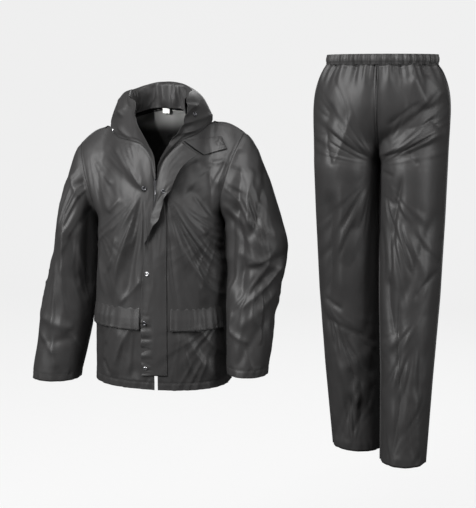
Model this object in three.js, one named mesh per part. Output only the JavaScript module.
import * as THREE from 'three';

// A rain suit of coated nylon: a hooded jacket with its hood stowed in the collar, and the
// trousers that go with it, both filled out as if worn. Sizes are in millimetres. Z is up, the
// fronts face -Y and the wearer's left is +X. The origin is the middle of the jacket's neck.

const WALL = 1.6;
const SEAM_GAP = 0.3;
const SEAT_GAP = 0.35;
const FOLDED_BACK = 0.3;

// Jacket body
const UNDERARM_Z = -225;
const BODY_POWER = 2.3;
const BODY_SECTIONS = [
  { z: -677, half: 192, front: 140, back: 132 },
  { z: -560, half: 190, front: 142, back: 130 },
  { z: -450, half: 188, front: 140, back: 127 },
  { z: -330, half: 181, front: 139, back: 124 },
  { z: -225, half: 178, front: 137, back: 121 },
];
const BODY_ROWS_Z = [-677, -660, -637, -600, -556, -512, -481, -450, -410, -370, -330, -292, -258, -225];
const UPPER_ROWS = 8;
const SHOULDER_COLUMNS = 4;
const BACK_NECK_COLUMNS = 6;
const BACK_NECK_DEPTH = 88;
const BACK_NECK_RISE = 40;
const SHOULDER_ROUND = 12;
const BACK_NECK_X_AT_CHEST = 0.86;
const CHEST_ROUND = 2.3;
const BACK_ROUND = 2.6;

// What differs between the two sides of the jacket. Each neckline runs from the zip outward.
const JACKET_SIDES = {
  left: {
    sign: 1,
    shoulder: [235, 0, 18],
    neckPoint: [142, 4, 43],
    chestX: [27, 54, 76, 97, 116, 133, 148],
    neckline: [
      { x: 28, y: -122, z: -107 },
      { x: 39, y: -119, z: -72 },
      { x: 51, y: -114, z: -45 },
      { x: 64, y: -107, z: -27 },
      { x: 79, y: -97, z: -9 },
      { x: 97, y: -83, z: 4 },
      { x: 122, y: -50, z: 17 },
    ],
    openingEdge: [
      { x: 26.5, y: -124, z: -99, curl: 0 },
      { x: 31, y: -124, z: -62, curl: 0 },
      { x: 48, y: -119, z: -26, curl: 0 },
      { x: 68, y: -112, z: 4, curl: 0 },
      { x: 88, y: -102, z: 36, curl: 0 },
      { x: 97, y: -89, z: 74, curl: 0.15 },
      { x: 94, y: -70, z: 112, curl: 0.4 },
    ],
  },
  right: {
    sign: -1,
    shoulder: [-235, 0, -17],
    neckPoint: [-149, 4, 29],
    chestX: [18, 0, -18, -46, -76, -106, -132],
    neckline: [
      { x: 19, y: -122, z: -107 },
      { x: 12, y: -119, z: -77 },
      { x: 6, y: -113, z: -50 },
      { x: -8, y: -105, z: -28 },
      { x: -31, y: -97, z: -11 },
      { x: -62, y: -85, z: -4 },
      { x: -112, y: -50, z: 4 },
    ],
    openingEdge: [
      { x: 22, y: -123, z: -99, curl: 0 },
      { x: 21, y: -122, z: -67, curl: 0 },
      { x: 12, y: -118, z: -32, curl: 0 },
      { x: -18, y: -110, z: 15, curl: 0 },
      { x: -36, y: -102, z: 48, curl: 0.1 },
      { x: -40, y: -86, z: 94, curl: 0.4 },
      { x: -72, y: -56, z: 112, curl: 0.8 },
    ],
  },
};

// Armhole: how far the seam lies out, forward and back, from the underarm up to the shoulder.
const ARMHOLE = [
  { up: 0, out: 178, front: 0, back: 0 },
  { up: 0.125, out: 178, front: 44, back: 40 },
  { up: 0.3, out: 184, front: 66, back: 60 },
  { up: 0.55, out: 200, front: 64, back: 58 },
  { up: 0.8, out: 219, front: 42, back: 38 },
  { up: 0.93, out: 231, front: 19, back: 17 },
  { up: 1, out: 235, front: 0, back: 0 },
];

// Sleeves, from the first full ring below the underarm down to the cuff. The cap's bend says how
// far across and down its curve is drawn, at the inner and at the outer side of the arm.
const SLEEVE_CAP_ROWS = 4;
const SLEEVE_MEAN_RADIUS = 75;
const CAP_BEND = { innerAcross: 0.95, outerAcross: 0.38, innerDown: 0.25, outerDown: 0.06, forward: 0.75, power: 1.5 };
const SLEEVES = {
  left: [
    { z: -268, x: 271, y: -2, half: 81, deep: 92 },
    { z: -316, x: 272, y: -6, half: 82, deep: 88 },
    { z: -360, x: 270, y: -11, half: 78, deep: 84 },
    { z: -402, x: 266, y: -18, half: 73, deep: 80 },
    { z: -446, x: 264, y: -26, half: 69, deep: 76 },
    { z: -490, x: 262, y: -34, half: 65, deep: 72 },
    { z: -534, x: 261, y: -43, half: 62, deep: 68 },
    { z: -578, x: 260, y: -51, half: 59, deep: 64 },
    { z: -612, x: 259, y: -56, half: 57, deep: 61 },
    { z: -634, x: 259, y: -59, half: 55, deep: 59 },
  ],
  right: [
    { z: -268, x: -248, y: -1, half: 61, deep: 90 },
    { z: -318, x: -253, y: -4, half: 63, deep: 87 },
    { z: -362, x: -259, y: -8, half: 66, deep: 84 },
    { z: -405, x: -265, y: -13, half: 69, deep: 81 },
    { z: -452, x: -271, y: -19, half: 72, deep: 78 },
    { z: -500, x: -277, y: -26, half: 74, deep: 76 },
    { z: -548, x: -284, y: -34, half: 74, deep: 74 },
    { z: -596, x: -292, y: -41, half: 73, deep: 72 },
    { z: -642, x: -300, y: -48, half: 71, deep: 70 },
    { z: -680, x: -305, y: -53, half: 68, deep: 68 },
  ],
};

// Collar with the hood rolled inside it: how far each row goes up and in towards the crest.
const CREST_X = 0.6;
const CREST_Y = 0.68;
const CREST_Z = 128;
const CREST_BACK_RISE = 25;
const COLLAR_ROWS = [
  { rise: 0, inward: 0 },
  { rise: 0.22, inward: 0.06 },
  { rise: 0.48, inward: 0.22 },
  { rise: 0.74, inward: 0.43 },
  { rise: 0.92, inward: 0.69 },
  { rise: 1, inward: 1 },
];
const HOOD_ROLL_ROWS = [
  { drop: 0, shrink: 1 },
  { drop: 5, shrink: 0.93 },
  { drop: 28, shrink: 0.87 },
  { drop: 54, shrink: 0.9 },
  { drop: 72, shrink: 0.98 },
];
const HOOD_ROLL_PUCKER = 2.5;

// Storm flap over the zip, sewn on along the wearer's left. Above the fastened stud it turns back
// like a lapel. Roll is where it turns, turned is how wide the part turned back is.
const FLAP_BEND_RADIUS = 4;
const FLAP_SHORT = 6;
const FLAP_TURN_DEGREES = 170;
const FLAP_INNER_STEP = { most: 25, share: 0.45 };
const FLAP_OUTER_STEP = { most: 35, share: 0.75 };
const FLAP_FIRST_ROW = 2;
const FLAP_ROWS = [
  { roll: 0, turned: 18, bend: 0 },
  { roll: 0, turned: 18, bend: 0 },
  { roll: 0, turned: 18, bend: 0 },
  { roll: 0, turned: 18, bend: 0 },
  { roll: 0, turned: 18, bend: 0 },
  { roll: 0, turned: 18, bend: 0 },
  { roll: 0, turned: 17, bend: 0 },
  { roll: 0, turned: 13, bend: 0 },
  { roll: 2, turned: 10, bend: 0 },
  { roll: 7, turned: 10, bend: 12 },
  { roll: 7, turned: 13, bend: 95 },
  { roll: 9, turned: 20, bend: 150 },
  { roll: 12, turned: 28, bend: 165 },
  { roll: 15, turned: 30, bend: 168 },
  { roll: 22, turned: 32, bend: 170 },
  { roll: 28, turned: 40, bend: 170 },
];
// Where the flap turns and where its edge lies, beside the collar opening.
const FLAP_TOP_ROWS = [
  { rollX: 29, rollZ: -139, edgeX: 80, edgeZ: -110 },
  { rollX: 30, rollZ: -112, edgeX: 88, edgeZ: -91 },
  { rollX: 37, rollZ: -80, edgeX: 98, edgeZ: -73 },
  { rollX: 48, rollZ: -53, edgeX: 111, edgeZ: -58 },
  { rollX: 67, rollZ: -29, edgeX: 123, edgeZ: -48 },
  { rollX: 90, rollZ: -6, edgeX: 135, edgeZ: -41 },
];
const FLAP_TOP_HEM = 9;
const FLAP_TOP_CLEAR = 1.2;

// Tab at the flap's upper end, folded down over the collar seam, and the pockets' flaps.
const TAB_CORNERS = {
  nearTop: [92.5, -1.5],
  nearLow: [138.5, -41.5],
  farTop: [178, 8],
  farLow: [198, -24],
};
const TAB_COLUMNS = 6;
const TAB_ROWS = 4;
const TAB_CLEAR = -0.1;
const POCKET_FIRST_ROW = 5;
const POCKET_LIFTS = [4.2, 1.6, 0];
const POCKET_PUCKER = 1.3;

// Zip
const ZIP_LAST_ROW = 21;
const SLIDER = { x: 23, z: -121, wide: 7.2, high: 13, deep: 4.6, base: 2, cheek: 1 };
const SLIDER_CLEAR = 1.2;
const PULL = { neckWide: 3.6, wide: 5.2, long: 24, thick: 1.4, neckLong: 14, corner: 2, clear: 0.8 };

// Trousers
const TROUSERS_X = 602;
const WAIST_Z = 194;
const WAISTBAND_HIGH = 27;
const CROTCH_Z = -62;
const LEG_COLUMNS = 9;
const GATHERS = 36;
const GATHER_DEEP = 2.6;
const WAISTBAND_COLUMNS_PER_GATHER = 3;
const WAISTBAND_ROWS = 2;
const PLEATS = 12;
const PLEAT_HIGH = 3.5;
const PLEAT_END_Z = 96;
const HIP_SECTIONS = [
  { z: 194, half: 141, deep: 104 },
  { z: 172, half: 158, deep: 112 },
  { z: 130, half: 171, deep: 120 },
  { z: 75, half: 176, deep: 125 },
  { z: 0, half: 174, deep: 124 },
  { z: -62, half: 172, deep: 118 },
];
const HIP_ROWS_Z = [194, 178, 152, 120, 85, 48, 14, -15, -40, -62];
const LEG_ROWS_Z = [-62, -100, -145, -195, -250, -305, -355, -400, -445, -495, -550, -610, -670, -730, -785, -832];
const LEGS = {
  left: {
    sign: 1,
    sections: [
      { z: -62, x: 87, y: 0, half: 85, deep: 112 },
      { z: -195, x: 88, y: -14, half: 82, deep: 98 },
      { z: -400, x: 89, y: -45, half: 76, deep: 83 },
      { z: -610, x: 89, y: -76, half: 65, deep: 70 },
      { z: -832, x: 87, y: -102, half: 57, deep: 60 },
    ],
  },
  right: {
    sign: -1,
    sections: [
      { z: -62, x: -87, y: 0, half: 85, deep: 112 },
      { z: -195, x: -84, y: 4, half: 82, deep: 96 },
      { z: -400, x: -73, y: 6, half: 81, deep: 82 },
      { z: -610, x: -60, y: 3, half: 75, deep: 69 },
      { z: -832, x: -45, y: 0, half: 66, deep: 62 },
    ],
  },
};

// Largest folds. Each runs from (x0, z0) to (x1, z1) as seen from the front or the back, in the
// garment's own x and z. A positive height is a ridge and a negative one a trough.
const FRONT_LEFT_FOLDS = [
  { x0: 60, z0: -140, x1: 128, z1: -300, wide: 16, high: 9 },
  { x0: 78, z0: -230, x1: 150, z1: -440, wide: 17, high: 9 },
  { x0: 110, z0: -130, x1: 172, z1: -210, wide: 18, high: -9 },
  { x0: 120, z0: -60, x1: 186, z1: -120, wide: 18, high: 8 },
  { x0: 100, z0: -530, x1: 175, z1: -650, wide: 16, high: 8 },
  { x0: 122, z0: -520, x1: 150, z1: -600, wide: 14, high: -7 },
];
const FRONT_RIGHT_FOLDS = [
  { x0: -10, z0: -125, x1: -70, z1: -20, wide: 13, high: 7 },
  { x0: -14, z0: -128, x1: -110, z1: -25, wide: 13, high: 7 },
  { x0: -24, z0: -135, x1: -132, z1: -70, wide: 16, high: -7 },
  { x0: -30, z0: -160, x1: -115, z1: -420, wide: 17, high: 10 },
  { x0: -20, z0: -170, x1: -60, z1: -430, wide: 15, high: -8 },
  { x0: -160, z0: -90, x1: -120, z1: -190, wide: 17, high: 8 },
  { x0: -45, z0: -520, x1: -40, z1: -640, wide: 15, high: -8 },
  { x0: -80, z0: -520, x1: -110, z1: -640, wide: 17, high: 9 },
  { x0: -150, z0: -530, x1: -165, z1: -650, wide: 15, high: -7 },
];
const BACK_FOLDS = [
  { x0: -150, z0: -70, x1: -40, z1: -120, wide: 22, high: 7 },
  { x0: 150, z0: -60, x1: 50, z1: -115, wide: 22, high: 7 },
  { x0: -150, z0: -190, x1: -70, z1: -330, wide: 20, high: 9 },
  { x0: 150, z0: -200, x1: 85, z1: -350, wide: 20, high: 9 },
  { x0: -30, z0: -250, x1: -45, z1: -520, wide: 22, high: -7 },
  { x0: 50, z0: -300, x1: 35, z1: -560, wide: 22, high: 7 },
  { x0: -110, z0: -420, x1: -125, z1: -650, wide: 18, high: 8 },
  { x0: 115, z0: -430, x1: 105, z1: -640, wide: 18, high: -8 },
];
// Sleeve folds. The first pair is the angle round the arm, in degrees from the outer side through
// the front, and the second pair is the height.
const SLEEVE_LEFT_FOLDS = [
  { turn0: 20, z0: -90, turn1: 60, z1: -230, wide: 18, high: 8 },
  { turn0: 10, z0: -260, turn1: 120, z1: -205, wide: 17, high: 9 },
  { turn0: 0, z0: -300, turn1: 110, z1: -350, wide: 15, high: -8 },
  { turn0: 10, z0: -350, turn1: 120, z1: -300, wide: 15, high: 8 },
  { turn0: 30, z0: -330, turn1: 125, z1: -450, wide: 16, high: -9 },
  { turn0: 20, z0: -400, turn1: 100, z1: -500, wide: 16, high: 8 },
  { turn0: 40, z0: -480, turn1: 110, z1: -610, wide: 15, high: -6 },
  { turn0: 200, z0: -330, turn1: 300, z1: -370, wide: 18, high: 8 },
  { turn0: 200, z0: -430, turn1: 290, z1: -400, wide: 18, high: -7 },
];
const SLEEVE_RIGHT_FOLDS = [
  { turn0: 30, z0: -120, turn1: 55, z1: -250, wide: 18, high: 8 },
  { turn0: 75, z0: -200, turn1: 85, z1: -450, wide: 17, high: 9 },
  { turn0: 100, z0: -270, turn1: 130, z1: -400, wide: 16, high: -10 },
  { turn0: 50, z0: -260, turn1: 45, z1: -480, wide: 16, high: -7 },
  { turn0: 40, z0: -500, turn1: 120, z1: -530, wide: 15, high: 8 },
  { turn0: 50, z0: -580, turn1: 130, z1: -555, wide: 14, high: -7 },
  { turn0: 200, z0: -360, turn1: 300, z1: -400, wide: 18, high: 8 },
  { turn0: 210, z0: -470, turn1: 290, z1: -440, wide: 18, high: -7 },
];
const TROUSER_FRONT_FOLDS = [
  { x0: 8, z0: -35, x1: 160, z1: 30, wide: 15, high: -9 },
  { x0: 2, z0: -5, x1: 150, z1: 100, wide: 16, high: 9 },
  { x0: 90, z0: 160, x1: 130, z1: 90, wide: 15, high: -9 },
  { x0: 120, z0: 165, x1: 158, z1: 120, wide: 14, high: -7 },
  { x0: 60, z0: -110, x1: 24, z1: -330, wide: 17, high: 9 },
  { x0: 150, z0: -190, x1: 80, z1: -400, wide: 17, high: 8 },
  { x0: 40, z0: -350, x1: 60, z1: -500, wide: 17, high: 8 },
  { x0: 75, z0: -410, x1: 80, z1: -780, wide: 17, high: 8 },
  { x0: 120, z0: -640, x1: 130, z1: -800, wide: 15, high: -7 },
  { x0: -8, z0: -35, x1: -120, z1: 50, wide: 15, high: -8 },
  { x0: -120, z0: 90, x1: -160, z1: -50, wide: 17, high: 8 },
  { x0: -120, z0: -170, x1: -130, z1: -410, wide: 18, high: 10 },
  { x0: -160, z0: -440, x1: -60, z1: -560, wide: 16, high: 8 },
  { x0: -90, z0: -590, x1: -40, z1: -700, wide: 15, high: -7 },
  { x0: -60, z0: -680, x1: -110, z1: -810, wide: 15, high: 8 },
];
const TROUSER_BACK_FOLDS = [
  { x0: 8, z0: -40, x1: 130, z1: 30, wide: 17, high: -8 },
  { x0: -8, z0: -40, x1: -130, z1: 30, wide: 17, high: -8 },
  { x0: 20, z0: -80, x1: 150, z1: -20, wide: 18, high: 8 },
  { x0: -20, z0: -80, x1: -150, z1: -20, wide: 18, high: 8 },
  { x0: 60, z0: -330, x1: 150, z1: -390, wide: 18, high: 8 },
  { x0: -50, z0: -370, x1: -140, z1: -340, wide: 18, high: 8 },
  { x0: 60, z0: -440, x1: 140, z1: -400, wide: 17, high: -8 },
  { x0: -30, z0: -400, x1: -130, z1: -440, wide: 17, high: -8 },
  { x0: 90, z0: -520, x1: 100, z1: -780, wide: 17, high: 7 },
  { x0: -70, z0: -520, x1: -60, z1: -780, wide: 17, high: 7 },
];

// Small parts
const STUD_RADIUS = 6.5;
const STUD_HIGH = 2.6;
const STUD_CLEAR = 0.4;
const STUD_SIDES = 10;
const STUDS = [
  { name: 'stud_flap_1', on: 'storm_flap', x: 51, z: -133, clear: 1.0 },
  { name: 'stud_flap_2', on: 'storm_flap', x: 1, z: -357 },
  { name: 'stud_flap_3', on: 'storm_flap', x: -7, z: -492 },
  { name: 'stud_flap_4', on: 'storm_flap', x: -7, z: -617 },
  { name: 'stud_front', on: 'jacket_front_right', x: -7, z: -128, clear: 1 },
  { name: 'stud_collar_left', on: 'collar', x: 112, z: 66, clear: 0.8 },
  { name: 'stud_collar_right', on: 'collar', x: -127, z: 20, clear: 0.8 },
];
const LABEL_HALF = 10;
const LABEL_THICK = 1;
const LABEL_HIGH = 15;
const LABEL_PLACE = [-4, 57.5, 72.5];
const COLOURS = {
  cloth: 0x2c2d30,
  metal: 0x8d8f92,
  label: 0xe8e8e6,
  zip: 0x1d1e20,
};

const lerp = (a, b, t) => a + (b - a) * t;
const clamp01 = (t) => Math.min(1, Math.max(0, t));
const smooth = (t) => clamp01(t) ** 2 * (3 - 2 * clamp01(t));
const vec = (x, y, z) => new THREE.Vector3(x, y, z);

// Straight-line value of every column of a table at one value of its key column.
function readTable(table, key, at) {
  const rising = table[table.length - 1][key] > table[0][key];
  const rows = rising ? table : [...table].reverse();
  let i = 1;
  while (i < rows.length - 1 && rows[i][key] < at) i += 1;
  const low = rows[i - 1];
  const high = rows[i];
  const t = clamp01((at - low[key]) / (high[key] - low[key]));
  const row = {};
  for (const name of Object.keys(low)) row[name] = lerp(low[name], high[name], t);
  return row;
}

// Height of all folds of a table at one place. Each fades out towards its ends.
function foldHeight(folds, across, up) {
  let total = 0;
  for (const fold of folds) {
    const dx = fold.x1 - fold.x0;
    const dz = fold.z1 - fold.z0;
    const long = Math.hypot(dx, dz);
    const along = ((across - fold.x0) * dx + (up - fold.z0) * dz) / long ** 2;
    const aside = ((across - fold.x0) * dz - (up - fold.z0) * dx) / long;
    const ends = smooth(along / 0.25 + 0.5) * smooth((1 - along) / 0.25 + 0.5);
    total += fold.high * ends * Math.exp(-((aside / fold.wide) ** 2));
  }
  return total;
}

const sleeveFolds = (folds, around) => folds.map((fold) => ({
  x0: (fold.turn0 / 360) * around,
  x1: (fold.turn1 / 360) * around,
  z0: fold.z0,
  z1: fold.z1,
  wide: fold.wide,
  high: fold.high,
}));

// Makes a panel: a grid of points, rows going up, with the folds on it and its joined edges named.
function makePanel(name, rows, columns, pointAt, options = {}) {
  const points = [];
  for (let i = 0; i <= rows; i += 1) {
    const row = [];
    for (let j = 0; j <= columns; j += 1) row.push(pointAt(i, j));
    points.push(row);
  }
  return { name, rows, columns, points, closed: false, seams: '', ...options };
}

const keyOf = (p) => `${Math.round(p.x * 50)},${Math.round(p.y * 50)},${Math.round(p.z * 50)}`;

// Normals averaged over every panel that shares a point, so joined edges face the same way. Where
// the panels fold back on each other, as under the arm, each keeps its own.
function sharedNormals(panels) {
  const shared = new Map();
  const owns = new Map();
  const addTo = (map, p, n) => {
    const key = keyOf(p);
    if (!map.has(key)) map.set(key, vec(0, 0, 0));
    map.get(key).add(n);
  };
  for (const panel of panels) {
    const { points, rows, columns, flip } = panel;
    const own = new Map();
    for (let i = 0; i < rows; i += 1) {
      for (let j = 0; j < columns; j += 1) {
        const corners = [points[i][j], points[i][j + 1], points[i + 1][j + 1], points[i + 1][j]];
        const across = corners[2].clone().sub(corners[0]);
        const other = corners[3].clone().sub(corners[1]);
        const normal = across.cross(other).normalize().multiplyScalar(flip ? -1 : 1);
        corners.forEach((p) => addTo(own, p, normal));
      }
    }
    for (const [key, sum] of own) {
      if (!shared.has(key)) shared.set(key, vec(0, 0, 0));
      shared.get(key).add(sum.normalize());
    }
    owns.set(panel, own);
  }
  return (panel, p) => {
    const mean = shared.get(keyOf(p)).clone().normalize();
    const mine = owns.get(panel).get(keyOf(p));
    return mine.dot(mean) < FOLDED_BACK ? mine.clone() : mean;
  };
}

// Moves the inner points of each panel out by its folds. Joined edges stay where they are.
function applyFolds(panels) {
  const normalAt = sharedNormals(panels);
  for (const panel of panels) {
    if (!panel.folds) continue;
    const moved = panel.points.map((row) => row.map((p) => p.clone()));
    for (let i = 0; i <= panel.rows; i += 1) {
      for (let j = 0; j <= panel.columns; j += 1) {
        const onSeam = (i === 0 && panel.seams.includes('b'))
          || (i === panel.rows && panel.seams.includes('t'))
          || (j === 0 && panel.seams.includes('s'))
          || (j === panel.columns && panel.seams.includes('e'));
        if (onSeam) continue;
        const p = panel.points[i][j];
        moved[i][j].addScaledVector(normalAt(panel, p), panel.folds(p, i, j));
      }
    }
    panel.points = moved;
  }
}

// Draws the joined edges of a panel back by half the seam gap.
function drawBack(panel) {
  const { points, rows, columns, seams } = panel;
  const moved = points.map((row) => row.map((p) => p.clone()));
  const pull = (i, j, toI, toJ) => {
    const way = points[toI][toJ].clone().sub(points[i][j]).normalize();
    moved[i][j].addScaledVector(way, SEAM_GAP / 2);
  };
  for (let j = 0; j <= columns; j += 1) {
    if (seams.includes('b')) pull(0, j, 1, j);
    if (seams.includes('t')) pull(rows, j, rows - 1, j);
  }
  for (let i = 0; i <= rows; i += 1) {
    if (seams.includes('s')) pull(i, 0, i, 1);
    if (seams.includes('e')) pull(i, columns, i, columns - 1);
  }
  return moved;
}

// Closed wall between an outer and an inner grid of points.
function wallGeometry(outer, inner, closed, flip) {
  const rows = outer.length - 1;
  const columns = outer[0].length - 1;
  const wide = closed ? columns : columns + 1;
  const positions = [];
  for (const grid of [outer, inner]) {
    for (const row of grid) {
      for (let j = 0; j < wide; j += 1) positions.push(row[j].x, row[j].y, row[j].z);
    }
  }
  const innerStart = (rows + 1) * wide;
  const at = (layer, i, j) => layer * innerStart + i * wide + (j % wide);
  const index = [];
  const quad = (a, b, c, d) => {
    if (flip) index.push(a, c, b, a, d, c);
    else index.push(a, b, c, a, c, d);
  };
  for (let i = 0; i < rows; i += 1) {
    for (let j = 0; j < columns; j += 1) {
      quad(at(0, i, j), at(0, i, j + 1), at(0, i + 1, j + 1), at(0, i + 1, j));
      quad(at(1, i, j), at(1, i + 1, j), at(1, i + 1, j + 1), at(1, i, j + 1));
    }
  }
  for (let j = 0; j < columns; j += 1) {
    quad(at(0, 0, j), at(1, 0, j), at(1, 0, j + 1), at(0, 0, j + 1));
    quad(at(0, rows, j), at(0, rows, j + 1), at(1, rows, j + 1), at(1, rows, j));
  }
  if (!closed) {
    for (let i = 0; i < rows; i += 1) {
      quad(at(0, i, 0), at(0, i + 1, 0), at(1, i + 1, 0), at(1, i, 0));
      quad(at(0, i, columns), at(1, i, columns), at(1, i + 1, columns), at(0, i + 1, columns));
    }
  }
  const geometry = new THREE.BufferGeometry();
  geometry.setAttribute('position', new THREE.Float32BufferAttribute(positions, 3));
  geometry.setIndex(index);
  geometry.computeVertexNormals();
  return geometry;
}

const group = new THREE.Group();

function addMesh(name, geometry, colour, roughness = 0.6, metalness = 0) {
  const material = new THREE.MeshStandardMaterial({ color: colour, roughness, metalness });
  const mesh = new THREE.Mesh(geometry, material);
  mesh.name = name;
  group.add(mesh);
  return mesh;
}

// Turns joined panels into walls. The cloth lies inward of the points given.
function addPanels(panels) {
  const normalAt = sharedNormals(panels);
  for (const panel of panels) {
    const outer = drawBack(panel);
    const normals = panel.points.map((row) => row.map((p) => normalAt(panel, p)));
    if (panel.levelTop) normals[panel.rows].forEach((n) => n.setZ(0).normalize());
    const inner = outer.map((row, i) => row.map((p, j) => p.clone().addScaledVector(normals[i][j], -WALL)));
    panel.normals = normals;
    addMesh(panel.name, wallGeometry(outer, inner, panel.closed, panel.flip), panel.colour ?? COLOURS.cloth);
  }
}

// Jacket body

function ringPhi(x, half) {
  return Math.acos(Math.min(1, Math.abs(x) / half) ** (BODY_POWER / 2));
}

function bodyPoint(sign, phi, z, isFront) {
  const section = readTable(BODY_SECTIONS, 'z', z);
  const deep = isFront ? -section.front : section.back;
  const x = section.half * Math.cos(phi) ** (2 / BODY_POWER);
  const y = deep * Math.sin(phi) ** (2 / BODY_POWER);
  return vec(sign * x, y, z);
}

function frontChestPoint(side, column, z) {
  const { chestX, sign } = side;
  const section = readTable(BODY_SECTIONS, 'z', z);
  const last = chestX[chestX.length - 1];
  if (column < chestX.length) {
    const phi = ringPhi(chestX[column], section.half);
    return vec(chestX[column], bodyPoint(sign, phi, z, true).y, z);
  }
  const t = (column - chestX.length + 1) / (SHOULDER_COLUMNS + 1);
  return bodyPoint(sign, lerp(ringPhi(last, section.half), 0, t), z, true);
}

function armholePoint(side, up, isFront) {
  const row = readTable(ARMHOLE, 'up', up);
  const forward = isFront ? -row.front : row.back;
  return vec(side.sign * row.out, forward, lerp(UNDERARM_Z, side.shoulder[2], up));
}

function shoulderSeam(side, t) {
  const point = vec(...side.neckPoint).lerp(vec(...side.shoulder), t);
  point.z += SHOULDER_ROUND * Math.sin(Math.PI * t);
  return point;
}

function frontTopPoint(side, column) {
  if (column < side.neckline.length) {
    const { x, y, z } = side.neckline[column];
    return vec(x, y, z);
  }
  return shoulderSeam(side, (column - side.neckline.length) / SHOULDER_COLUMNS);
}

function backNeckPoint(turn) {
  const { left, right } = JACKET_SIDES;
  const half = turn > 0 ? left.neckPoint[0] : -right.neckPoint[0];
  const angle = (turn * Math.PI) / 2;
  const share = Math.sin(angle);
  const x = half * share;
  const level = lerp(right.neckPoint[2], left.neckPoint[2], (share + 1) / 2);
  const back = Math.cos(angle);
  return vec(x, lerp(left.neckPoint[1], BACK_NECK_DEPTH, back), level + BACK_NECK_RISE * back ** 2);
}

// Point of a column that rises from the chest ring to the top edge, rounding over the shoulder.
function columnPoint(low, top, up, round) {
  const x = lerp(low.x, top.x, smooth(up) * 0.5 + up * 0.5);
  return vec(x, lerp(low.y, top.y, up ** round), lerp(low.z, top.z, up));
}

// Fills the grid between the neck column and the armhole, true to all four of its edges.
function shoulderPoint(low, top, up, t, neckColumn, armhole) {
  const point = low.point.clone().lerp(top.point, up);
  const neckAway = neckColumn.clone().sub(low.neck.clone().lerp(top.neck, up));
  const armAway = armhole.clone().sub(low.arm.clone().lerp(top.arm, up));
  return point.addScaledVector(neckAway, 1 - t).addScaledVector(armAway, t);
}

const FRONT_COLUMNS = JACKET_SIDES.left.neckline.length + SHOULDER_COLUMNS;
const NECK_COLUMN = JACKET_SIDES.left.neckline.length;
const BODY_ROWS = BODY_ROWS_Z.length - 1 + UPPER_ROWS;

function frontPoint(side, i, column) {
  const lowRows = BODY_ROWS_Z.length - 1;
  if (i <= lowRows) return frontChestPoint(side, column, BODY_ROWS_Z[i]);
  const up = (i - lowRows) / UPPER_ROWS;
  const low = frontChestPoint(side, column, UNDERARM_Z);
  const top = frontTopPoint(side, column);
  if (column <= NECK_COLUMN) return columnPoint(low, top, up, CHEST_ROUND);
  const neckLow = frontChestPoint(side, NECK_COLUMN, UNDERARM_Z);
  const neckTop = frontTopPoint(side, NECK_COLUMN);
  const armLow = armholePoint(side, 0, true);
  const armTop = armholePoint(side, 1, true);
  return shoulderPoint(
    { point: low, neck: neckLow, arm: armLow },
    { point: top, neck: neckTop, arm: armTop },
    up,
    (column - NECK_COLUMN) / SHOULDER_COLUMNS,
    columnPoint(neckLow, neckTop, up, CHEST_ROUND),
    armholePoint(side, up, true),
  );
}

// Back columns run from the wearer's right side seam to the left one.
const BACK_HALF = BACK_NECK_COLUMNS + SHOULDER_COLUMNS;

function backChestPoint(column, z) {
  const away = column - BACK_HALF;
  const sign = away < 0 ? -1 : 1;
  const section = readTable(BODY_SECTIONS, 'z', z);
  const neckX = JACKET_SIDES.left.neckPoint[0] * BACK_NECK_X_AT_CHEST;
  const edge = ringPhi(neckX, section.half);
  const steps = Math.abs(away);
  const phi = steps <= BACK_NECK_COLUMNS
    ? ringPhi((neckX * steps) / BACK_NECK_COLUMNS, section.half)
    : lerp(edge, 0, (steps - BACK_NECK_COLUMNS) / SHOULDER_COLUMNS);
  return bodyPoint(sign, phi, z, false);
}

function backTopPoint(column) {
  const away = column - BACK_HALF;
  const side = away < 0 ? JACKET_SIDES.right : JACKET_SIDES.left;
  const steps = Math.abs(away);
  if (steps <= BACK_NECK_COLUMNS) return backNeckPoint(away / BACK_NECK_COLUMNS);
  return shoulderSeam(side, (steps - BACK_NECK_COLUMNS) / SHOULDER_COLUMNS);
}

function backPoint(i, column) {
  const lowRows = BODY_ROWS_Z.length - 1;
  if (i <= lowRows) return backChestPoint(column, BODY_ROWS_Z[i]);
  const up = (i - lowRows) / UPPER_ROWS;
  const low = backChestPoint(column, UNDERARM_Z);
  const top = backTopPoint(column);
  const away = column - BACK_HALF;
  const steps = Math.abs(away);
  if (steps <= BACK_NECK_COLUMNS) return columnPoint(low, top, up, BACK_ROUND);
  const side = away < 0 ? JACKET_SIDES.right : JACKET_SIDES.left;
  const neck = BACK_HALF + Math.sign(away) * BACK_NECK_COLUMNS;
  const neckLow = backChestPoint(neck, UNDERARM_Z);
  const neckTop = backTopPoint(neck);
  return shoulderPoint(
    { point: low, neck: neckLow, arm: armholePoint(side, 0, false) },
    { point: top, neck: neckTop, arm: armholePoint(side, 1, false) },
    up,
    (steps - BACK_NECK_COLUMNS) / SHOULDER_COLUMNS,
    columnPoint(neckLow, neckTop, up, BACK_ROUND),
    armholePoint(side, up, false),
  );
}

// Sleeves: one tube each, from the armhole round the shoulder and down to the cuff.

const SLEEVE_AROUND = 2 * UPPER_ROWS;

function armholeLoop(side, k) {
  const step = ((k % SLEEVE_AROUND) + SLEEVE_AROUND) % SLEEVE_AROUND;
  if (step <= UPPER_ROWS) return armholePoint(side, 1 - step / UPPER_ROWS, true);
  return armholePoint(side, (step - UPPER_ROWS) / UPPER_ROWS, false);
}

function sleeveRing(side, row, k) {
  const angle = (k / SLEEVE_AROUND) * 2 * Math.PI;
  return vec(row.x + side.sign * row.half * Math.cos(angle), row.y - row.deep * Math.sin(angle), row.z);
}

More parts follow.
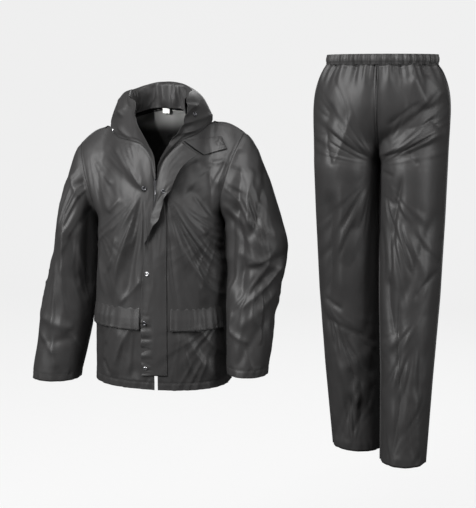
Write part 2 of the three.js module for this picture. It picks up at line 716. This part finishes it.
function sleevePoint(side, rows, i, k) {
  const total = SLEEVE_CAP_ROWS + rows.length - 1;
  const down = total - i;
  if (down >= SLEEVE_CAP_ROWS) return sleeveRing(side, rows[down - SLEEVE_CAP_ROWS], k);
  const t = down / SLEEVE_CAP_ROWS;
  const start = armholeLoop(side, k);
  const end = sleeveRing(side, rows[0], k);
  const outer = ((1 + Math.cos((k / SLEEVE_AROUND) * 2 * Math.PI)) / 2) ** CAP_BEND.power;
  const bend = vec(
    lerp(start.x, end.x, lerp(CAP_BEND.innerAcross, CAP_BEND.outerAcross, outer)),
    lerp(start.y, end.y, CAP_BEND.forward),
    lerp(start.z, end.z, lerp(CAP_BEND.innerDown, CAP_BEND.outerDown, outer)),
  );
  return start.clone().multiplyScalar((1 - t) ** 2)
    .addScaledVector(bend, 2 * t * (1 - t))
    .addScaledVector(end, t ** 2);
}

function sleevePanel(name, side, rows, folds) {
  const around = 2 * Math.PI * SLEEVE_MEAN_RADIUS;
  const inMillimetres = sleeveFolds(folds, around);
  return makePanel(name, SLEEVE_CAP_ROWS + rows.length - 1, SLEEVE_AROUND, (i, k) => sleevePoint(side, rows, i, k), {
    closed: true,
    flip: side.sign > 0,
    seams: 't',
    folds: (p, i, k) => foldHeight(inMillimetres, ((k % SLEEVE_AROUND) / SLEEVE_AROUND) * around, p.z),
  });
}

// Collar: from the right zip end round the back to the left zip end.

const COLLAR_FRONT = NECK_COLUMN;
const COLLAR_COLUMNS = 2 * COLLAR_FRONT + 2 * BACK_NECK_COLUMNS;

function collarBase(column) {
  if (column < COLLAR_FRONT) return frontTopPoint(JACKET_SIDES.right, column);
  if (column > COLLAR_COLUMNS - COLLAR_FRONT) return frontTopPoint(JACKET_SIDES.left, COLLAR_COLUMNS - column);
  return backNeckPoint((column - COLLAR_FRONT - BACK_NECK_COLUMNS) / BACK_NECK_COLUMNS);
}

function crestPoint(base) {
  const back = clamp01(base.y / BACK_NECK_DEPTH);
  return vec(base.x * CREST_X, base.y * CREST_Y, CREST_Z + CREST_BACK_RISE * back ** 2);
}

function collarTop(column) {
  const fromEnd = Math.min(column, COLLAR_COLUMNS - column);
  const side = column < COLLAR_FRONT ? JACKET_SIDES.right : JACKET_SIDES.left;
  if (fromEnd >= COLLAR_FRONT) return { point: crestPoint(collarBase(column)), curl: 1 };
  const edge = side.openingEdge[fromEnd];
  return { point: vec(edge.x, edge.y, edge.z), curl: edge.curl };
}

function collarPoint(i, column) {
  const base = collarBase(column);
  const { point: top, curl } = collarTop(column);
  const row = COLLAR_ROWS[i];
  const inward = lerp(row.rise, row.inward, curl);
  return vec(lerp(base.x, top.x, inward), lerp(base.y, top.y, inward), lerp(base.z, top.z, row.rise));
}

const ROLL_FIRST = COLLAR_FRONT - 1;
const ROLL_COLUMNS = COLLAR_COLUMNS - 2 * ROLL_FIRST;

function hoodRollPoint(i, column) {
  const crest = collarTop(column + ROLL_FIRST).point;
  const row = HOOD_ROLL_ROWS[HOOD_ROLL_ROWS.length - 1 - i];
  const pucker = row.drop > 0 ? HOOD_ROLL_PUCKER * (column % 2 === 0 ? 1 : -1) : 0;
  const across = Math.hypot(crest.x, crest.y);
  const shrink = row.shrink - pucker / across;
  return vec(crest.x * shrink, crest.y * shrink, crest.z - row.drop);
}

// Storm flap

// Runs along the flap's section: flat, then round the turn, then straight on.
function flapPath(distance, flat, bend) {
  const arc = Math.max(FLAP_SHORT, FLAP_BEND_RADIUS * bend);
  const curve = Math.max(bend / arc, 1e-5);
  if (distance <= flat) return { across: distance, out: 0 };
  const angle = Math.min(distance - flat, arc) * curve;
  const rest = Math.max(0, distance - flat - arc);
  return {
    across: flat + Math.sin(angle) / curve + rest * Math.cos(angle),
    out: (1 - Math.cos(angle)) / curve + rest * Math.sin(angle),
  };
}

function flapDistances(flat, turned, bend) {
  const arc = Math.max(FLAP_SHORT, FLAP_BEND_RADIUS * bend);
  return [
    0,
    Math.min(FLAP_INNER_STEP.most, flat * FLAP_INNER_STEP.share),
    Math.min(FLAP_OUTER_STEP.most, flat * FLAP_OUTER_STEP.share),
    flat,
    flat + arc / 3,
    flat + (arc * 2) / 3,
    flat + arc,
    flat + arc + (turned - FLAP_SHORT) / 2,
    flat + arc + turned - FLAP_SHORT,
  ];
}

// Place on the two fronts, taken across a row at a given x.
function seatAt(rowIndex, x) {
  const seat = [];
  for (const column of [4, 3, 2, 1, 0]) {
    seat.push({ p: frontLeft.points[rowIndex][column], n: frontLeft.normals[rowIndex][column] });
  }
  for (const column of [0, 1, 2, 3]) {
    seat.push({ p: frontRight.points[rowIndex][column], n: frontRight.normals[rowIndex][column] });
  }
  let k = 1;
  while (k < seat.length - 1 && seat[k].p.x > x) k += 1;
  const t = clamp01((x - seat[k - 1].p.x) / (seat[k].p.x - seat[k - 1].p.x));
  return {
    point: seat[k - 1].p.clone().lerp(seat[k].p, t),
    normal: seat[k - 1].n.clone().lerp(seat[k].n, t).normalize(),
  };
}

function flapSeatedPoint(index, column) {
  const rowIndex = FLAP_FIRST_ROW + index;
  const { roll, turned, bend } = FLAP_ROWS[index];
  const seamX = frontLeft.points[rowIndex][1].x;
  const angle = THREE.MathUtils.degToRad(bend);
  const reach = bend > 90 ? FLAP_BEND_RADIUS : 0;
  const flat = seamX - roll - reach;
  const { across, out } = flapPath(flapDistances(flat, turned, angle)[column], flat, angle);
  const { point, normal } = seatAt(rowIndex, seamX - across);
  return point.addScaledVector(normal, SEAT_GAP + WALL + out);
}

const caster = new THREE.Raycaster();

// Outermost place on the given meshes at (x, z), as seen from the front.
function frontY(meshes, x, z) {
  caster.set(vec(x, -400, z), vec(0, 1, 0));
  const hits = caster.intersectObjects(meshes, false);
  return hits.length > 0 ? hits[0].point.y : null;
}

function restingY(meshes, x, z, clear) {
  const near = [[0, 0], [4, 0], [-4, 0], [0, 4], [0, -4]];
  const found = near.map(([dx, dz]) => frontY(meshes, x + dx, z + dz)).filter((y) => y !== null);
  return Math.min(...found) - clear - WALL;
}

function flapTopPoint(index, column, meshes) {
  const row = FLAP_TOP_ROWS[index];
  const way = vec(row.edgeX - row.rollX, 0, row.edgeZ - row.rollZ);
  const turned = way.length();
  way.normalize();
  const bend = THREE.MathUtils.degToRad(FLAP_TURN_DEGREES);
  const flat = FLAP_TOP_HEM - FLAP_BEND_RADIUS;
  const path = flapPath(flapDistances(flat, turned, bend)[column], flat, bend);
  const place = vec(row.rollX, 0, row.rollZ).addScaledVector(way, FLAP_TOP_HEM - path.across);
  return vec(place.x, restingY(meshes, place.x, place.z, FLAP_TOP_CLEAR) - path.out, place.z);
}

function tabPoint(i, j, meshes) {
  const { nearTop, nearLow, farTop, farLow } = TAB_CORNERS;
  const along = j / TAB_COLUMNS;
  const up = i / TAB_ROWS;
  const x = lerp(lerp(nearLow[0], farLow[0], along), lerp(nearTop[0], farTop[0], along), up);
  const z = lerp(lerp(nearLow[1], farLow[1], along), lerp(nearTop[1], farTop[1], along), up);
  return vec(x, restingY(meshes, x, z, TAB_CLEAR), z);
}

// Pocket flap made from the front's own points, moved out, its free edge a little lifted.
function pocketPoint(front, i, j, firstShare, first) {
  const column = first + j;
  const { points, normals } = front;
  const row = POCKET_FIRST_ROW + i;
  const point = points[row][column].clone();
  if (j === 0) point.lerp(points[row][column + 1], firstShare);
  const pucker = i === 0 ? POCKET_PUCKER * (j % 2 === 0 ? 1 : -1) : 0;
  return point.addScaledVector(normals[row][column], SEAT_GAP + WALL + POCKET_LIFTS[i] + pucker);
}

// Trousers

// Closed band at the waist, drawn up by the elastic inside it.
function waistbandPoint(i, k) {
  const columns = GATHERS * WAISTBAND_COLUMNS_PER_GATHER;
  const turn = ((k % columns) / columns) * 2 * Math.PI;
  const { half, deep } = HIP_SECTIONS[0];
  const swell = i === 1 ? 2.5 : 0;
  const out = GATHER_DEEP * Math.cos(turn * GATHERS) + swell;
  const z = WAIST_Z + SEAM_GAP + (WAISTBAND_HIGH * i) / WAISTBAND_ROWS;
  return vec(TROUSERS_X + (half + out) * Math.cos(turn), (deep + out) * Math.sin(turn), z);
}

function pleatHeight(p) {
  const turn = Math.atan2(p.y, p.x - TROUSERS_X);
  const fade = smooth((p.z - PLEAT_END_Z) / (WAIST_Z - PLEAT_END_Z));
  return PLEAT_HIGH * fade * Math.cos(turn * PLEATS);
}

function hipPoint(sign, isFront, share, z) {
  const section = readTable(HIP_SECTIONS, 'z', z);
  const deep = isFront ? -section.deep : section.deep;
  const angle = (share * Math.PI) / 2;
  return vec(sign * section.half * Math.cos(angle), deep * Math.sin(angle), z);
}

function legPoint(leg, isFront, share, z) {
  const row = readTable(leg.sections, 'z', z);
  const angle = share * Math.PI;
  const forward = isFront ? -row.deep : row.deep;
  return vec(row.x + leg.sign * row.half * Math.cos(angle), row.y + forward * Math.sin(angle), z);
}

const TROUSER_ROWS = HIP_ROWS_Z.length + LEG_ROWS_Z.length - 2;

function trouserPoint(leg, isFront, i, column) {
  const down = TROUSER_ROWS - i;
  const share = column / LEG_COLUMNS;
  if (down >= HIP_ROWS_Z.length - 1) {
    return legPoint(leg, isFront, share, LEG_ROWS_Z[down - HIP_ROWS_Z.length + 1]);
  }
  const z = HIP_ROWS_Z[down];
  const towardLeg = clamp01((WAIST_Z - z) / (WAIST_Z - CROTCH_Z)) ** 3.2;
  const hip = hipPoint(leg.sign, isFront, share, z);
  const thigh = legPoint(leg, isFront, share, CROTCH_Z);
  const point = hip.lerp(vec(thigh.x, thigh.y, z), towardLeg);
  if (column === LEG_COLUMNS) point.x = 0;
  return point;
}

function trouserPanel(name, leg, isFront, folds) {
  return makePanel(name, TROUSER_ROWS, LEG_COLUMNS, (i, column) => {
    const point = trouserPoint(leg, isFront, i, column);
    point.x += TROUSERS_X;
    return point;
  }, {
    flip: (leg.sign > 0) !== isFront,
    seams: 'tse',
    levelTop: true,
    folds: (p) => foldHeight(folds, p.x - TROUSERS_X, p.z) + pleatHeight(p),
  });
}

// Assemble the jacket's joined panels.

const { left, right } = JACKET_SIDES;
const frontLeft = makePanel('jacket_front_left', BODY_ROWS, FRONT_COLUMNS, (i, j) => frontPoint(left, i, j), {
  seams: 'te',
  folds: (p) => foldHeight(FRONT_LEFT_FOLDS, p.x, p.z),
});
const frontRight = makePanel('jacket_front_right', BODY_ROWS, FRONT_COLUMNS, (i, j) => frontPoint(right, i, j), {
  flip: true,
  seams: 'te',
  folds: (p) => foldHeight(FRONT_RIGHT_FOLDS, p.x, p.z),
});
const back = makePanel('jacket_back', BODY_ROWS, 2 * BACK_HALF, (i, j) => backPoint(i, j), {
  flip: true,
  seams: 'tse',
  folds: (p) => foldHeight(BACK_FOLDS, p.x, p.z),
});
const sleeveLeft = sleevePanel('sleeve_left', left, SLEEVES.left, SLEEVE_LEFT_FOLDS);
const sleeveRight = sleevePanel('sleeve_right', right, SLEEVES.right, SLEEVE_RIGHT_FOLDS);
const collar = makePanel('collar', COLLAR_ROWS.length - 1, COLLAR_COLUMNS, (i, j) => collarPoint(i, j), {
  flip: true,
  seams: 'bt',
});
const hoodRoll = makePanel('hood_roll', HOOD_ROLL_ROWS.length - 1, ROLL_COLUMNS, (i, j) => hoodRollPoint(i, j), {
  seams: 't',
});
const jacketPanels = [frontLeft, frontRight, back, sleeveLeft, sleeveRight, collar, hoodRoll];
applyFolds(jacketPanels);
addPanels(jacketPanels);

// Assemble the trousers' joined panels and the gathered waistband.

const trouserPanels = [
  trouserPanel('trousers_front_left', LEGS.left, true, TROUSER_FRONT_FOLDS),
  trouserPanel('trousers_front_right', LEGS.right, true, TROUSER_FRONT_FOLDS),
  trouserPanel('trousers_back_left', LEGS.left, false, TROUSER_BACK_FOLDS),
  trouserPanel('trousers_back_right', LEGS.right, false, TROUSER_BACK_FOLDS),
];
applyFolds(trouserPanels);
addPanels(trouserPanels);
addPanels([
  makePanel('waistband', WAISTBAND_ROWS, GATHERS * WAISTBAND_COLUMNS_PER_GATHER, waistbandPoint, { closed: true }),
]);

// Pieces that lie on the jacket's fronts.

const meshOf = (name) => group.getObjectByName(name);
const chest = [meshOf('jacket_front_left'), meshOf('jacket_front_right'), meshOf('collar')];
const flapRows = FLAP_ROWS.length + FLAP_TOP_ROWS.length - 1;
addPanels([
  makePanel('storm_flap', flapRows, 8, (i, j) => (
    i < FLAP_ROWS.length ? flapSeatedPoint(i, j) : flapTopPoint(i - FLAP_ROWS.length, j, chest)
  ), { flip: true }),
  makePanel('collar_tab', TAB_ROWS, TAB_COLUMNS, (i, j) => tabPoint(i, j, chest)),
  makePanel('pocket_flap_left', 2, 8, (i, j) => pocketPoint(frontLeft, i, j, 0.35, 1)),
  makePanel('pocket_flap_right', 2, 8, (i, j) => pocketPoint(frontRight, i, j, 0.12, 2), { flip: true }),
  makePanel('zip_tape', ZIP_LAST_ROW - FLAP_FIRST_ROW, 1, (i, j) => {
    const front = j === 0 ? frontRight : frontLeft;
    const other = j === 0 ? frontLeft : frontRight;
    const row = FLAP_FIRST_ROW + i;
    const inwards = other.points[row][0].clone().sub(front.points[row][0]).normalize();
    return front.points[row][0].clone().addScaledVector(inwards, SEAM_GAP);
  }, { colour: COLOURS.zip }),
]);

// Zip slider: a channel between two cheeks, and the pull tab that hangs in it.

function zipSlider() {
  const { wide, high, deep, base, cheek } = SLIDER;
  const outline = new THREE.Shape([
    [-wide / 2, 0], [wide / 2, 0], [wide / 2, -deep], [wide / 2 - cheek, -deep],
    [wide / 2 - cheek, -base], [-wide / 2 + cheek, -base], [-wide / 2 + cheek, -deep], [-wide / 2, -deep],
  ].map(([x, y]) => new THREE.Vector2(x, y)));
  return new THREE.ExtrudeGeometry(outline, { depth: high, bevelEnabled: false });
}

function pullTab() {
  const { neckWide, wide, long, thick, neckLong, corner } = PULL;
  const outline = new THREE.Shape([
    [-neckWide / 2, 0], [-neckWide / 2, -neckLong], [-wide / 2, -neckLong - corner], [-wide / 2, corner - long],
    [corner - wide / 2, -long], [wide / 2 - corner, -long], [wide / 2, corner - long],
    [wide / 2, -neckLong - corner],
    [neckWide / 2, -neckLong], [neckWide / 2, 0],
  ].map(([x, y]) => new THREE.Vector2(x, y)));
  return new THREE.ExtrudeGeometry(outline, { depth: thick, bevelEnabled: false }).rotateX(Math.PI / 2);
}

// A stud: a shallow round cap on a flat base.
function studGeometry() {
  const profile = [[0, 0], [STUD_RADIUS, 0], [STUD_RADIUS, 0.9], [STUD_RADIUS * 0.72, 2.2], [0, STUD_HIGH]];
  return new THREE.LatheGeometry(profile.map(([r, h]) => new THREE.Vector2(r, h)), STUD_SIDES);
}

// Puts a flat-based piece on the outermost mesh at (x, z), facing out of the cloth.
function seatOn(name, geometry, meshes, x, z, clear, colour) {
  caster.set(vec(x, -400, z), vec(0, 1, 0));
  const hit = caster.intersectObjects(meshes, false)[0];
  const mesh = addMesh(name, geometry, colour, 0.35, 0.8);
  mesh.quaternion.setFromUnitVectors(vec(0, 1, 0), hit.face.normal);
  mesh.position.copy(hit.point).addScaledVector(hit.face.normal, clear);
}

for (const { name, on, x, z, clear } of STUDS) {
  seatOn(name, studGeometry(), [meshOf(on)], x, z, clear ?? STUD_CLEAR, COLOURS.metal);
}

// The slider stands on the zip, its channel to the front, and the pull tab hangs in the channel.
const tape = [meshOf('zip_tape')];
const sliderY = restingY(tape, SLIDER.x, SLIDER.z + SLIDER.high / 2, SLIDER_CLEAR - WALL);
const sliderMesh = addMesh('zip_slider', zipSlider(), COLOURS.metal, 0.35, 0.8);
sliderMesh.position.set(SLIDER.x, sliderY, SLIDER.z);
const pullMesh = addMesh('zip_pull', pullTab(), COLOURS.metal, 0.35, 0.8);
pullMesh.position.set(SLIDER.x, sliderY - SLIDER.base - PULL.clear, SLIDER.z + SLIDER.high);

// Small bare label below the hood roll, inside the back of the neck.
const label = addMesh('neck_label', new THREE.BoxGeometry(2 * LABEL_HALF, LABEL_THICK, LABEL_HIGH), COLOURS.label);
label.position.set(...LABEL_PLACE);

export default group;
